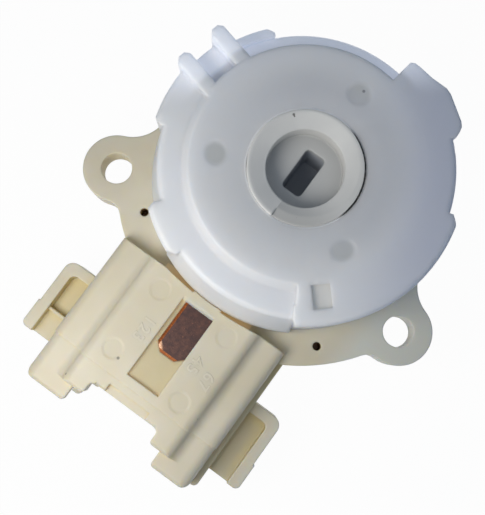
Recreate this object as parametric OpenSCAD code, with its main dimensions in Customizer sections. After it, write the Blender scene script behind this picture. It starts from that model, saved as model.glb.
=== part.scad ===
// Ignition switch: a turning contact switch in a two-part moulded case with a seven-blade plug housing.
// Z is the turning axis and zero is the underside of the case. The plug housing points along -Y.

/* [Case base] */
// Radius of the round case body
base_r = 23; // [22.7:0.1:23.2]
// Height of the case body, up to the joint with the cover
base_h = 13.5; // [13.3:0.1:13.7]
// Thickness of the ears and the apron
flange_t = 4.5; // [3.5:0.1:5]
// Radius of the apron on the plug side
apron_r = 28.2; // [27.6:0.1:29]
// Distance between the two ear holes
ear_pitch = 50; // [49:0.1:51]
// Angle of the line through the ear holes
ear_tilt = 5.8; // [4:0.1:8]
// Sideways place of the middle of the ear holes
ear_mid_x = 0.7; // [0:0.1:1.4]
// Distance of the middle of the ear holes from the axis, towards the plug
ear_mid_y = 12.4; // [12:0.1:13]
// Outer radius of an ear
ear_r = 5.2; // [4.6:0.1:6]
// Diameter of an ear hole
ear_hole_d = 4.8; // [4:0.1:5.5]
// Fillet between an ear and the round body
ear_fillet = 6; // [4:0.1:7]
// Fillet between an ear and the apron
apron_fillet = 2.6; // [1.5:0.1:4]
// Diameter of the two blind pin holes in the apron
pin_hole_d = 1.3; // [0.8:0.1:1.8]
// Height of the contact deck inside the case
deck_z = 10; // [9.9:0.1:10.1]
// Radius of the cup over the deck
cup_r = 19.6; // [19.4:0.1:19.8]
// Depth of the cored-out underside
core_d = 1.8; // [0.5:0.1:2]

/* [Plug housing] */
// Sideways place of the middle of the plug housing
plug_x = -1.2; // [-1.6:0.1:-0.8]
// Width of the housing over its shoulders
plug_w = 29.3; // [28.6:0.1:30]
// Distance of the prong ends from the axis
plug_end = 47.8; // [47:0.1:49]
// Distance of the housing's rear edge from the axis
plug_rear = 22.9; // [22.4:0.1:23.4]
// Height of the shoulders
shoulder_z = 16; // [15.8:0.1:16.4]
// Height of the raised middle over the shoulders
plateau_rise = 2; // [1.6:0.1:2.4]
// Width of the raised middle
plateau_w = 19.8; // [19:0.1:20.4]
// Wall thickness of the housing
plug_wall = 1.6; // [1.3:0.1:1.8]
// How far the lower side ledges stand out
ledge_out = 0.95; // [0.5:0.1:1.3]
// Height of the lower side ledges
side_ledge_z = 11; // [10.5:0.1:12]
// Width of the notch in the mouth
notch_w = 12.1; // [11:0.1:13]
// Distance of the notch's back edge from the axis
notch_y = 42.7; // [42.2:0.1:43.5]
// Distance of the mouth collar's edge line from the axis
collar_y = 40.25; // [39.8:0.05:41]
// How far the mouth collar lies below the rest of the housing
collar_drop = 0.15; // [0.1:0.05:0.3]
// Length of a side wing
wing_l = 12.5; // [11:0.1:13]
// How far a wing stands out from the side ledge
wing_out = 5.3; // [4.5:0.1:6]
// Height of a wing's rim
wing_z = 10; // [9:0.1:10.5]
// Width of a wing's rim
wing_rim = 1.7; // [1.2:0.1:2]

/* [Cover] */
// Radius of the cover's wall
core_r = 21.2; // [21:0.1:21.4]
// How far the lobes stand out from the wall
lobe_out = 1.4; // [1:0.1:1.6]
// Height of the cover above the joint
cover_h = 12.5; // [12.3:0.1:13]
// Radius of the ridge round the dished top
ridge_r = 16.7; // [16:0.1:17]
// Depth of the dish at the hub
dish_drop = 1.8; // [1.4:0.1:2]
// Radius of the top where the ledge cuts it back
ledge_r = 17.5; // [17.3:0.1:18]
// Depth of the ledge below the top
ledge_drop = 6; // [5:0.1:6.1]
// Depth of the step in the top on the plug side
step_d = 1; // [0.8:0.1:1.8]
// Rounding of the top rim
rim_round = 0.8; // [0.4:0.1:1]
// Radius that the two ribs reach
rib_tip_r = 23.6; // [23.2:0.1:24]
// Width of a rib
rib_w = 2.4; // [1.6:0.1:2.6]
// Distance of each rib from the slot's middle
rib_off = 3.1; // [2.8:0.1:3.4]
// Depth of the slot between the ribs
rib_slot_d = 2.8; // [2:0.1:3.4]
// Diameter of an ejector mark
dimple_d = 3.8; // [3:0.1:4.4]

/* [Rotor] */
// Radius of the hub
hub_r = 8.45; // [8.2:0.05:8.6]
// Radius of the key socket
socket_r = 5.7; // [5.3:0.1:6]
// Depth of the key socket
socket_d = 4; // [3:0.1:4.6]
// Width of the drive slot
slot_w = 3.3; // [2.8:0.1:3.8]
// Length of the drive slot
slot_l = 6.8; // [6:0.1:7.4]
// Radius of the rotor disc
disc_r = 17.6; // [17.4:0.1:17.8]
// Thickness of the rotor disc
disc_t = 4.3; // [4.1:0.1:4.4]
// Radius of the journal in the base
journal_r = 4.5; // [4.3:0.1:4.8]
// Radial clearance of the turning fits
turn_fit = 0.08; // [0.04:0.01:0.1]
// Whole turn of the rotor, from lock to start
turn_a = 125; // [120:1:130]

/* [Contacts] */
// Width of a terminal blade
blade_w = 4.8; // [4.6:0.1:5]
// Thickness of the terminal copper
strip_t = 0.8; // [0.7:0.05:0.9]
// Distance between neighbouring blades
blade_pitch = 6; // [5.8:0.1:6.2]
// Width of a contact land
land_w = 2.2; // [1.8:0.1:2.4]
// Width of a bridging contact
bridge_w = 4.4; // [4:0.1:4.8]
// Radius of a contact tip
tip_r = 0.95; // [0.8:0.05:1.05]
// Radius of a detent ball
ball_r = 1.5; // [1.4:0.05:1.55]
// Travel of a detent ball into its notch
ball_travel = 0.8; // [0.5:0.05:0.9]

/* [Hidden] */
$fn = 64;
eps = 0.01;
over = 1;
insert_fit = 0.02;
run_gap = 0.3;
side_fit = 0.1;
sector_r = 80;

// Heights, from the deck upwards
touch_gap = 0.02;
tip_h = 0.7;
bar_t = 0.8;
bar_z = deck_z + touch_gap + tip_h;
bar_top = bar_z + bar_t;
carrier_z = deck_z + 1.2;
carrier_t = 2.9;
disc_z = carrier_z + carrier_t;
disc_top = disc_z + disc_t;
zone_top = disc_top + run_gap;
top_z = base_h + cover_h;
dish_z = top_z - dish_drop;
ledge_z = top_z - ledge_drop;
hub_proud = 0.4;
hub_z = dish_z + hub_proud;
socket_z = hub_z - socket_d;

// Cover
lobe_r = core_r + lobe_out;
foot_r = core_r + 1.5;
foot_h = 1.5;
plug_foot_r = core_r + 2.1;
plug_foot_h = 4.4;
bore_r = hub_r + turn_fit;
crest_r = ridge_r + 1.9;
crest_over = 0.03;
crest_w = crest_r - hub_r;
crest_round = (pow(crest_w, 2) + pow(dish_drop + crest_over, 2)) / (2 * (dish_drop + crest_over));
crest_z = top_z + crest_over - crest_round;
spigot_r = cup_r - 0.05;
spigot_d = 1.5;
spigot_t = 1;
track_r = disc_r + 0.6;
chamber_r = 15.2;
top_t = 1.8;
ring_out_r = core_r - 1.5;
wall_root_r = core_r - 1.9;
ledge_a = [81, 154];
bump_a = [138.5, 156];
bump_h = 0.7;
bump_root_r = core_r - 0.1;
step_a = [177, 301];
step_r = ridge_r + 0.3;
step_slope = 0.8;
step_w = 1.1;
step_z = top_z - step_d;
lug_a = 46.8;
lug_polar = [[wall_root_r, 82], [core_r - 0.2, 81.2], [core_r + 0.25, 79.6], [core_r + 0.4, 77.4],
    [core_r + 0.75, 71], [core_r + 1.65, 65.2], [core_r + 1.75, 62.6], [core_r + 1.6, 52.2],
    [core_r + 1.45, 50.2], [core_r + 1, 48.6], [core_r, 46], [wall_root_r, 46]];
rib_a = 166.5;
rib_root_r = ledge_r - 1.4;
rib_low_z = ledge_z - 0.5;
rib_top_z = top_z - 0.1;
rib_chamfer = 0.7;
rib_round = 0.4;
slot_z = top_z - rib_slot_d;
slot_a = [ledge_a[1], step_a[0]];

// Walls round the cover: radius at the top and at the foot, height of the foot, top, angles, easing of both ends
walls = [[core_r, core_r, foot_h, ledge_z, 79, ledge_a[1], 0, 0],
    [lobe_r, lobe_r, foot_h, slot_z, slot_a[0], slot_a[1] - 2, 0, 0],
    [lobe_r, foot_r, foot_h, step_z, slot_a[1] - 3, 198.5, 0, 1.2],
    [core_r, foot_r, foot_h, step_z, 196, 231, 0, 0],
    [lobe_r + 0.5, lobe_r + 0.5, foot_h, step_z, 230, 248.5, 0.8, 1.8],
    [core_r + 0.5, plug_foot_r, plug_foot_h, step_z, 246, step_a[1], 0, 0],
    [lobe_r, lobe_r, foot_h, top_z, step_a[1], 375.5, 0.6, 1.8],
    [core_r, core_r, foot_h, top_z, 13, lug_a, 0, 0]];
ease_d = 1;
pocket_a = 312;
pocket_size = [3.4, 2.7, 0.6];
pocket_r = 16.8;
dimples = [90, 208, 329];
dimple_at_r = 12.9;
dimple_depth = 0.14;
dimple_draft = 0.5;
dimple_tilt = asin((crest_r - dimple_at_r) / crest_round);
dimple_z = crest_z + crest_round * cos(dimple_tilt);
hook_a = [65, rib_a, pocket_a];
hook_w = 5;
hook_r = [20.6, 21.9];
hook_low_z = 6;
hook_catch = 2;
hook_lead = 0.5;
hook_fit = 0.2;
hook_barb_r = base_r - 0.15;

// Rotor
shaft_r = 6.9;
shaft_z = deck_z + run_gap;
journal_z = 7.6;
slot_floor_z = 12;
slot_round = 0.7;
ring_step = 0.35;
ring_fall = 0.7;
ring_rim = 0.4;
detent_a = [70, 250];
stops = [0, 45, 90, turn_a];
ball_c = track_r - ball_r - 0.05;
ball_z = disc_z + disc_t / 2;
bore_fit = 0.05;
detent_bore_r = ball_r + bore_fit;
detent_floor_r = 10;
peg_r = 1.2;
peg_at_r = 12.2;
peg_h = 2;
seat_r = 1.9;
seat_d = 1.7;

// Return spring
coil_r = 11.6;
coil_turns = 2;
coil_gap = 0.05;
coil_room = dish_z - top_t - zone_top;
wire_r = 0.15 * coil_room;
coil_pitch = (coil_room - 2 * wire_r - 2 * coil_gap) / coil_turns;
coil_z = zone_top + wire_r + coil_gap;
coil_top_z = coil_z + coil_turns * coil_pitch;
tang_a = 105;
tang_low_z = disc_top - 1.4;
tang_out_r = 16.2;
tang_slot_a = [98, 202];
tang_slot_d = 2;
tang_gap = 0.25;

// Contacts
tracks = [9.4, 12.2, 15];
bridge_a = [340, 160];
bridge_end = 1.2;
rivet_r = 0.5;
row_z = [3.6, 9.6];
strip_z = [3.6, 6.8];
strip_w = 3.2;
leg_w = 2;
back_y = -31;
joggle_y = -28.6;
blade_tip_y = 2.5 - notch_y;
blade_chamfer = 0.9;
land_over = 7;
spring_wire = 0.2;
contact_coil_r = 1.45;
contact_turns = 4;
detent_coil_r = 1.05;
detent_turns = 6;

// Plug housing
plug_hw = plug_w / 2;
neck_y = 14;
plateau_z = shoulder_z + plateau_rise;
plateau_hw = plateau_w / 2;
ledge_hw = plug_hw + ledge_out;
shoulder_round = 1.6;
plateau_slope_a = 70;
slope_steps = 7;
slope_turn = plateau_slope_a / slope_steps;
prong_round = 1.6;
notch_round = 0.7;
edge_round = 0.7;
lip_round = 0.6;
shoulder_extra = [0, 0.65];
ledge_end = plug_end - 0.7;
ledge_round = 0.8;
cavity_hw = plug_hw - plug_wall - 0.45;
cavity_top = shoulder_z - plug_wall;
tunnel_hw = 5.2;
tunnel_top = cavity_top + 1.8;
tunnel_y = 36;
inner_hw = notch_w / 2 + 1.95;
inner_y = 45;
rear_y = plug_foot_r + 0.35;
rear_arc_r = 50;
rear_arc_x = 0.3;
lip_w = 7.2;
lip_y = 41.4;
lip_d = 0.5;
bridge_pad_a = [263, 275];
wing_rear = [31.4, 30.4];
wing_low_z = 5;
wing_floor = [7.4, 8.1];
wing_step = 0.25;
wing_round = 0.9;
pocket_round = 1;
wing_rib_at = 4.6;
wing_rib_t = 0.5;
wing_rib_z = wing_z - 0.9;
tab_x = [-2.9, 1.95];
tab_y = [24.5, 33.4];
tab_floor = plateau_z - 1.1;
tab_chamfer = 1.2;
tab_break = 0.6;
riser_x = -0.5;
window_x = -3.6;
window_y = [25.3, 38.8];
window_floor = plateau_z - 0.75;
window_slope = [0.6, 0.2];
mark_d = 3.4;
mark_depth = 0.06;
mark_draft = 0.35;
marks = [[-7, -26], [5, -26], [-7.5, -37], [5, -37.6]];

// Ears and pin holes
ear_mid = [ear_mid_x, -ear_mid_y];
ear_dir = [cos(ear_tilt), sin(ear_tilt)];
ears = [ear_mid - ear_dir * ear_pitch / 2, ear_mid + ear_dir * ear_pitch / 2];
pin_holes = [[-16.6, -17.9], [16.8, -19]];
pin_hole_l = flange_t - 0.8;
core_ribs = 6;
core_rib_a = 9;
core_ring = [7, 18.5];

// Terminals: first battery, accessory, ignition and starter of the upper row, then battery, ignition and
// starter of the lower row. From and to are where a land ends and starts, clockwise from the bridge's rest angle.
term_col = [2, 3, 1, 0, 1, 2, 3];
term_row = [1, 1, 1, 1, 0, 0, 0];
term_track = [0, 2, 1, 2, 0, 1, 2];
term_leg = [281, 301, 250, 227, 116.5, 81.5, 53];
term_from = [turn_a + land_over, 96, turn_a + land_over, turn_a + land_over, turn_a + land_over,
    turn_a + land_over, turn_a + land_over];
term_to = [-land_over, 35, 75, 104, -land_over, 75, 104];

// Points and tubes
function polar(r, a) = [r * cos(a), r * sin(a)];
function at(r, a, z) = [r * cos(a), r * sin(a), z];
function unit(v) = v / norm(v);
function tangent(p, i) = unit(p[min(i + 1, len(p) - 1)] - p[max(i - 1, 0)]);
function square_to(n, t) = unit(n - (n * t) * t);
function normals(p, i, n) = i == len(p) ? [] :
    let (m = square_to(n, tangent(p, i))) concat([m], normals(p, i + 1, m));

// Round wire along a path of points
module wire(path, r, first, sides = 6) {
    n = normals(path, 0, first);
    rows = len(path);
    points = [for (i = [0:rows - 1], k = [0:sides - 1])
        let (a = 360 * k / sides, t = tangent(path, i))
        path[i] + r * (cos(a) * n[i] + sin(a) * cross(t, n[i]))];
    walls = [for (i = [0:rows - 2], k = [0:sides - 1])
        let (j = (k + 1) % sides)
        [i * sides + k, (i + 1) * sides + k, (i + 1) * sides + j, i * sides + j]];
    start = [for (k = [0:sides - 1]) k];
    end = [for (k = [sides - 1:-1:0]) (rows - 1) * sides + k];
    polyhedron(points, concat(walls, [start, end]), convexity = 8);
}

// Coil from height z0 to z1 about the Z axis
module coil(r, z0, z1, turns, wire_r, steps = 12) {
    n = turns * steps;
    wire([for (i = [0:n]) at(r, 360 * i / steps, z0 + (z1 - z0) * i / n)], wire_r, [1, 0, 0]);
}

// Keeps what lies between two angles
module sector(a0, a1) {
    intersection() {
        children();
        translate([0, 0, -top_z])
            linear_extrude(3 * top_z)
                polygon(concat([[0, 0]], [for (i = [0:4]) polar(sector_r, a0 + (a1 - a0) * i / 4)]));
    }
}

// Part of a ring between two angles
module ring(r0, r1, z0, z1, a0, a1) {
    sector(a0, a1)
        rotate_extrude()
            translate([r0, z0])
                square([r1 - r0, z1 - z0]);
}

// Box between two corners, grown on every side
module box(x, y, z, grow = 0) {
    translate([x[0] - grow, y[0] - grow, z[0] - grow])
        cube([x[1] - x[0] + 2 * grow, y[1] - y[0] + 2 * grow, z[1] - z[0] + 2 * grow]);
}

// What is cut off an outer corner at x, y to round it
module corner_cut(x, y, r) {
    difference() {
        translate([x - r, y - r])
            square(r + over);
        translate([x - r, y - r])
            circle(r);
    }
}

// Fills the inner corner between two circles with a fillet on the given side
module circle_fillet(c1, r1, c2, r2, f, side) {
    d = c2 - c1;
    along = (pow(r1 + f, 2) - pow(r2 + f, 2) + d * d) / (2 * norm(d));
    off = sqrt(pow(r1 + f, 2) - along * along);
    c = c1 + unit(d) * along + side * off * [-d[1], d[0]] / norm(d);
    difference() {
        polygon([c1, c, c2]);
        translate(c)
            circle(f);
    }
}

// One stamped terminal: blade, strip, leg and land, with the tab in the window on the first one
module terminal(k, grow = 0) {
    row = term_row[k];
    track = tracks[term_track[k]];
    rest_a = bridge_a[row == 1 ? 0 : 1];
    leg = polar(track, term_leg[k]);
    col_x = plug_x + (term_col[k] - 1.5) * blade_pitch;
    blade_z = row_z[row] - strip_t / 2;
    low_z = strip_z[row] - strip_t / 2;
    strip_x = [leg[0] - strip_w / 2, leg[0] + strip_w / 2];
    grow_a = grow / track * 180 / PI;
    blade(col_x, blade_z, grow);
    box(strip_x, [back_y - over, joggle_y], [blade_z, blade_z + strip_t], grow);
    box(strip_x, [joggle_y - strip_t, joggle_y], [low_z, blade_z + strip_t], grow);
    box(strip_x, [joggle_y - strip_t, leg[1] + strip_t / 2], [low_z, low_z + strip_t], grow);
    box([leg[0] - leg_w / 2, leg[0] + leg_w / 2], [leg[1] - strip_t / 2, leg[1] + strip_t / 2],
        [low_z, deck_z - strip_t / 2], grow);
    ring(track - land_w / 2 - grow, track + land_w / 2 + grow, deck_z - strip_t - grow, deck_z + grow,
        rest_a - term_from[k] - grow_a, rest_a - term_to[k] + grow_a);
    if (k == 0) {
        box([riser_x, tab_x[1]], [-tab_y[0] - strip_t, -tab_y[0]], [low_z, tab_floor + strip_t], grow);
        tab(grow);
    }
}

// Flat blade with a chamfered tip
module blade(x, z, grow) {
    w = blade_w / 2;
    translate([x, 0, z - grow])
        linear_extrude(strip_t + 2 * grow)
            polygon([[-w, back_y + over], [-w, blade_tip_y + blade_chamfer], [blade_chamfer - w, blade_tip_y],
                [w - blade_chamfer, blade_tip_y], [w, blade_tip_y + blade_chamfer], [w, back_y + over]]);
}

// The spare tab that lies in the window, its sheared edges broken on the left side and at the tip
module tab(grow) {
    x0 = tab_x[0] - grow;
    x1 = tab_x[1] + grow;
    y0 = -tab_y[0] + grow;
    y1 = -tab_y[1] - grow;
    top = tab_floor + strip_t;
    difference() {
        translate([0, 0, tab_floor - grow])
            linear_extrude(strip_t + 2 * grow)
                polygon([[x0, y0], [x0, y1 + tab_chamfer], [x0 + tab_chamfer, y1], [x1 - tab_chamfer, y1],
                    [x1, y1 + tab_chamfer], [x1, y0]]);
        if (grow == 0) {
            translate([x0, -window_y[1], top])
                rotate([0, 45, 0])
                    cube([tab_break, 2 * (window_y[1] - window_y[0]), tab_break], center = true);
            translate([x0, y1, top])
                rotate([45, 0, 0])
                    cube([4 * blade_w, tab_break, tab_break], center = true);
        }
    }
}

// Plan of the ears, the apron and the round body
module flange_plan() {
    o = [0, 0];
    circle(base_r);
    intersection() {
        circle(apron_r);
        polygon([o, ears[0] * 2, [ears[0][0] * 2, -2 * apron_r], [ears[1][0] * 2, -2 * apron_r], ears[1] * 2]);
    }
    for (k = [0, 1]) {
        side = k == 0 ? -1 : 1;
        translate(ears[k])
            circle(ear_r);
        circle_fillet(o, base_r, ears[k], ear_r, ear_fillet, side);
        circle_fillet(o, apron_r, ears[k], ear_r, apron_fillet, -side);
    }
}

// Section of the plug housing: shoulders and, where asked, the raised middle
module housing_section(drop, raised) {
    for (k = [0, 1])
        translate([plug_x, 0])
            mirror([k, 0])
                half_section(plug_hw + shoulder_extra[k] - drop, shoulder_z - drop, raised ? plateau_z - drop : 0);
}

// One half of the shoulders and the raised middle, which meet in a soft slope
module half_section(w, top, peak) {
    rise = max(peak - top, 0) / 2;
    slope_r = rise / (1 - cos(plateau_slope_a));
    slope_hw = slope_r * sin(plateau_slope_a);
    difference() {
        square([w, top]);
        corner_cut(w, top, shoulder_round);
    }
    if (rise > 0)
        polygon(concat([[0, 0], [0, peak]],
            [for (i = [0:slope_steps]) [plateau_hw - slope_hw + slope_r * sin(i * slope_turn),
                peak - slope_r * (1 - cos(i * slope_turn))]],
            [for (i = [slope_steps - 1:-1:0]) [plateau_hw + slope_hw - slope_r * sin(i * slope_turn),
                top + slope_r * (1 - cos(i * slope_turn))]],
            [[plateau_hw + slope_hw, 0]]));
}

// Straight length of the housing between two distances from the axis
module housing_run(y0, y1, drop, raised) {
    translate([0, -y0, 0])
        rotate([90, 0, 0])
            linear_extrude(y1 - y0)
                housing_section(drop, raised);
}

// What is cut off a front edge at y, z of the housing to round it
module edge_cut(hw, y, z, r) {
    translate([plug_x - hw, 0, 0])
        rotate([90, 0, 90])
            linear_extrude(2 * hw)
                mirror([1, 0])
                    corner_cut(y, z, r);
}

// Lower side ledge with a rounded front end, on the +X side
module side_ledge() {
    linear_extrude(side_ledge_z)
        difference() {
            translate([0, -ledge_end])
                square([ledge_hw, ledge_end - plug_rear]);
            translate([0, -ledge_end])
                mirror([0, 1])
                    corner_cut(ledge_hw, 0, ledge_round);
        }
}

// Solid of the plug housing before it is hollowed
module housing_body() {
    top = shoulder_z - collar_drop;
    difference() {
        union() {
            housing_run(plug_rear, collar_y, 0, true);
            housing_run(collar_y - eps, inner_y, collar_drop, true);
            housing_run(inner_y - eps, plug_end, collar_drop, false);
        }
        translate([rear_arc_x, rear_arc_r - rear_y, base_h])
            cylinder(r = rear_arc_r, h = top_z);
        edge_cut(plug_w, plug_end, top, edge_round);
        edge_cut(plateau_w, inner_y, top + plateau_rise, edge_round);
        for (k = [0, 1])
            translate([plug_x, -plug_end, -over])
                mirror([k, 0, 0])
                    mirror([0, 1, 0])
                        linear_extrude(top_z)
                            corner_cut(plug_hw + shoulder_extra[k] - collar_drop, 0, prong_round);
    }
    for (k = [0, 1])
        translate([plug_x, 0, 0])
            mirror([k, 0, 0])
                side_ledge();
}

// One side wing, drawn on the +X side of the housing; the ribbed one has two pockets
module wing(rear, ribbed) {
    x1 = ledge_hw + wing_out;
    end = rear + wing_l;
    inner = [plug_hw, x1 - wing_rim];
    rib_y = end - wing_rib_at;
    difference() {
        translate([0, 0, wing_low_z])
            linear_extrude(wing_z - wing_low_z)
                difference() {
                    union() {
                        translate([plug_hw - over, -end])
                            square([x1 - plug_hw + over, wing_l]);
                        translate([plug_hw - over, -end])
                            square([x1 + wing_step - plug_hw + over, wing_rib_at]);
                    }
                    translate([0, -rear])
                        corner_cut(x1, 0, prong_round);
                    translate([0, -end])
                        mirror([0, 1])
                            corner_cut(x1 + wing_step, 0, wing_round);
                }
        if (ribbed) {
            wing_pocket(inner, [-rib_y, -rear - wing_rim], wing_floor[0]);
            box(inner, [-end - over, -rib_y - wing_rib_t], [wing_floor[1], top_z]);
            box(inner, [-rib_y - wing_rib_t - eps, -rib_y + eps], [wing_rib_z, top_z]);
        } else {
            wing_pocket(inner, [-end - over, -rear - wing_rim], wing_floor[1]);
        }
    }
}

// Pocket with one rounded corner
module wing_pocket(x, y, z) {
    translate([x[0], y[0], z])
        linear_extrude(top_z)
            difference() {
                square([x[1] - x[0], y[1] - y[0]]);
                corner_cut(x[1] - x[0], y[1] - y[0], pocket_round);
            }
}

// Plug cavity, lock tunnel, mouth notch and window
module housing_hollows() {
    box([plug_x - cavity_hw, plug_x + cavity_hw], [-plug_end - over, back_y], [plug_wall, cavity_top]);
    box([plug_x - tunnel_hw, plug_x + tunnel_hw], [-plug_end - over, -tunnel_y], [cavity_top - 1, tunnel_top]);
    translate([plug_x, -plug_end - over, -over])
        linear_extrude(top_z)
            notch_plan(plug_end + over - notch_y);
    box([plug_x - inner_hw, plug_x + inner_hw], [-plug_end - over, -inner_y], [-over, top_z]);
    edge_cut(notch_w / 2 - notch_round, notch_y, plateau_z - collar_drop, lip_round);
    for (k = [0, 1])
        translate([plug_x, 0, -over])
            mirror([k, 0, 0])
                linear_extrude(top_z) {
                    inner_corner(notch_w / 2, inner_y);
                    inner_corner(inner_hw, plug_end);
                }
    box([plug_x - lip_w / 2, plug_x + lip_w / 2], [-notch_y - over, -lip_y],
        [plateau_z - collar_drop - lip_d, top_z]);
    translate([window_x, 0, 0])
        rotate([90, 0, 90])
            linear_extrude(tab_x[1] + insert_fit - window_x)
                polygon([[-window_y[1], window_floor], [-window_y[0], window_floor],
                    [-window_y[0], plateau_z - window_slope[1]], [-window_y[0] + window_slope[0], plateau_z],
                    [-window_y[0] + 2 * window_slope[0], plateau_z + window_slope[1]], [-window_y[1], top_z]]);
}

// What is cut off the corner of a prong beside the notch to round it
module inner_corner(x, y) {
    translate([x, -y])
        rotate(180)
            corner_cut(0, 0, notch_round);
}

// Plan of the notch in the mouth, with rounded inner corners
module notch_plan(l) {
    for (s = [0, 1])
        mirror([s, 0])
            difference() {
                square([notch_w / 2, l]);
                corner_cut(notch_w / 2, l, notch_round);
            }
}

// Shallow round mark with a sloping edge
module ejector_mark(d, depth, draft) {
    cylinder(d1 = d - 2 * draft, d2 = d, h = depth);
    translate([0, 0, depth - eps])
        cylinder(d = d, h = over);
}

// Pocket and window for one hook of the cover, along +X
module hook_pocket() {
    w = hook_w / 2 + hook_fit;
    low = hook_low_z - 2 * hook_fit;
    box([hook_r[0] - hook_fit, hook_r[1] + hook_fit], [-w, w], [low, base_h + over]);
    box([hook_r[0], base_r + 2 * over], [-w, w], [low, hook_low_z + hook_catch + side_fit]);
}

module terminal_base() {
    color("#d8d0b4")
        difference() {
            union() {
                cylinder(r = base_r, h = base_h);
                translate([0, 0, base_h - flange_t])
                    linear_extrude(flange_t)
                        flange_plan();
                housing_body();
                box([plug_x - plug_hw, plug_x + plug_hw], [-plug_rear - over, -neck_y], [0, base_h]);
                for (s = [0, 1])
                    translate([plug_x, 0, 0])
                        mirror([s, 0, 0])
                            wing(wing_rear[s], s == 1);
                ring(plug_foot_r + side_fit, rear_y + run_gap, base_h - over, plateau_z,
                    bridge_pad_a[0], bridge_pad_a[1]);
            }
            housing_hollows();
            for (m = marks)
                translate([m[0], m[1], plateau_z - mark_depth])
                    ejector_mark(mark_d, mark_depth, mark_draft);
            translate([0, 0, deck_z])
                cylinder(r = cup_r, h = base_h);
            translate([0, 0, journal_z - run_gap])
                cylinder(r = journal_r + turn_fit, h = deck_z);
            for (e = ears)
                translate([e[0], e[1], -over])
                    cylinder(d = ear_hole_d, h = top_z);
            for (h = pin_holes)
                translate([h[0], h[1], base_h - pin_hole_l])
                    cylinder(d = pin_hole_d, h = top_z);
            for (a = hook_a)
                rotate([0, 0, a])
                    hook_pocket();
            for (i = [0:core_ribs - 1])
                ring(core_ring[0], core_ring[1], -over, core_d, (i + 0.5) * 360 / core_ribs + core_rib_a,
                    (i + 1.5) * 360 / core_ribs - core_rib_a);
            for (k = [0:len(term_col) - 1])
                terminal(k, insert_fit);
        }
}

// Turned section of the cover: top, joint spigot, rotor zone, spring chamber and bore
module cover_section() {
    polygon([[bore_r, top_z], [ring_out_r, top_z], [ring_out_r, base_h], [spigot_r, base_h],
        [spigot_r, base_h - spigot_d], [spigot_r - spigot_t, base_h - spigot_d],
        [spigot_r - spigot_t, base_h], [track_r, base_h], [track_r, zone_top], [chamber_r, zone_top],
        [chamber_r, top_z - top_t], [bore_r, dish_z - top_t]]);
}

// Part of the cover's wall between two angles, with a rounded top edge and, where asked, a spreading foot
module wall(r0, r1, foot, h, z1, a0, a1, e0 = 0, e1 = 0) {
    intersection() {
        rotate_extrude()
            difference() {
                polygon([[r0, base_h], [foot, base_h], [foot, base_h + h], [r1, z1 - rim_round], [r1, z1],
                    [r0, z1]]);
                corner_cut(r1, z1, rim_round);
            }
        linear_extrude(top_z + over)
            wall_plan(r1, a0, a1, e0, e1);
    }
}

// Plan that a wall is kept in; its ends slant over the easing depth
module wall_plan(r, a0, a1, e0, e1) {
    far = [for (i = [1:3]) polar(sector_r, a0 + (a1 - a0) * i / 4)];
    polygon(concat([[0, 0]], slant(r, a0, e0, 1), far, slant(r, a1, e1, -1)));
}

function slant(r, a, e, way) = e == 0 ? [polar(sector_r, a)] : let (
        near = polar(r - ease_d, a - way * e),
        out = polar(r, a + way * e),
        far = near + 3 * (out - near))
    way > 0 ? [near, far] : [far, near];

// One of the two parallel ribs, along +X
module rib() {
    w = rib_w / 2;
    intersection() {
        translate([0, 0, rib_low_z])
            linear_extrude(top_z)
                polygon([[rib_root_r, -w], [rib_tip_r - rib_chamfer, -w], [rib_tip_r, rib_chamfer - w],
                    [rib_tip_r, w - rib_chamfer], [rib_tip_r - rib_chamfer, w], [rib_root_r, w]]);
        rotate([90, 0, 90])
            linear_extrude(rib_tip_r + over)
                for (s = [0, 1])
                    mirror([s, 0])
                        difference() {
                            square([w, rib_top_z]);
                            corner_cut(w, rib_top_z, rib_round);
                        }
    }
}

// Snap hook that hangs from the foot into the base, along +X
module hook() {
    root_z = base_h + foot_h / 2;
    translate([0, hook_w / 2, 0])
        rotate([90, 0, 0])
            linear_extrude(hook_w)
                polygon([[hook_r[0], root_z], [hook_r[0], hook_low_z], [hook_r[1] - hook_lead, hook_low_z],
                    [hook_barb_r, hook_low_z + hook_catch - hook_lead], [hook_barb_r, hook_low_z + hook_catch],
                    [hook_r[1], hook_low_z + hook_catch], [hook_r[1], root_z]]);
}

module cover_body() {
    difference() {
        union() {
            rotate_extrude()
                cover_section();
            rotate_extrude()
                difference() {
                    translate([wall_root_r, base_h])
                        square([foot_r - wall_root_r, foot_h]);
                    corner_cut(foot_r, base_h + foot_h, rim_round);
                }
            for (w = walls)
                wall(wall_root_r, w[0], w[1], w[2], w[3], w[4], w[5], w[6], w[7]);
            sector(lug_a, ledge_a[0])
                translate([0, 0, base_h])
                    linear_extrude(cover_h)
                        polygon([for (p = lug_polar) polar(p[0], p[1])]);
        }
        ring(ledge_r, ring_out_r + eps, ledge_z, top_z + over, ledge_a[0], ledge_a[1]);
        ring(ledge_r, ring_out_r + eps, slot_z, top_z + over, slot_a[0], slot_a[1]);
        sector(step_a[0], step_a[1])
            rotate_extrude()
                polygon([[step_r + step_slope, step_z], [ring_out_r + eps, step_z],
                    [ring_out_r + eps, top_z + over],
                    [step_r + step_slope - step_w * (step_d + over) / step_d, top_z + over]]);
        rotate_extrude()
            difference() {
                translate([0, base_h])
                    square([crest_r, cover_h + over]);
                translate([crest_r, crest_z])
                    circle(crest_round);
            }
    }
    wall(bump_root_r, lobe_r, lobe_r, foot_h, ledge_z + bump_h, bump_a[0], bump_a[1], 1.5, 0);
    for (s = [-1, 1])
        rotate([0, 0, rib_a])
            translate([0, s * rib_off, 0])
                rib();
    for (a = hook_a)
        rotate([0, 0, a])
            hook();
}

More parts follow.
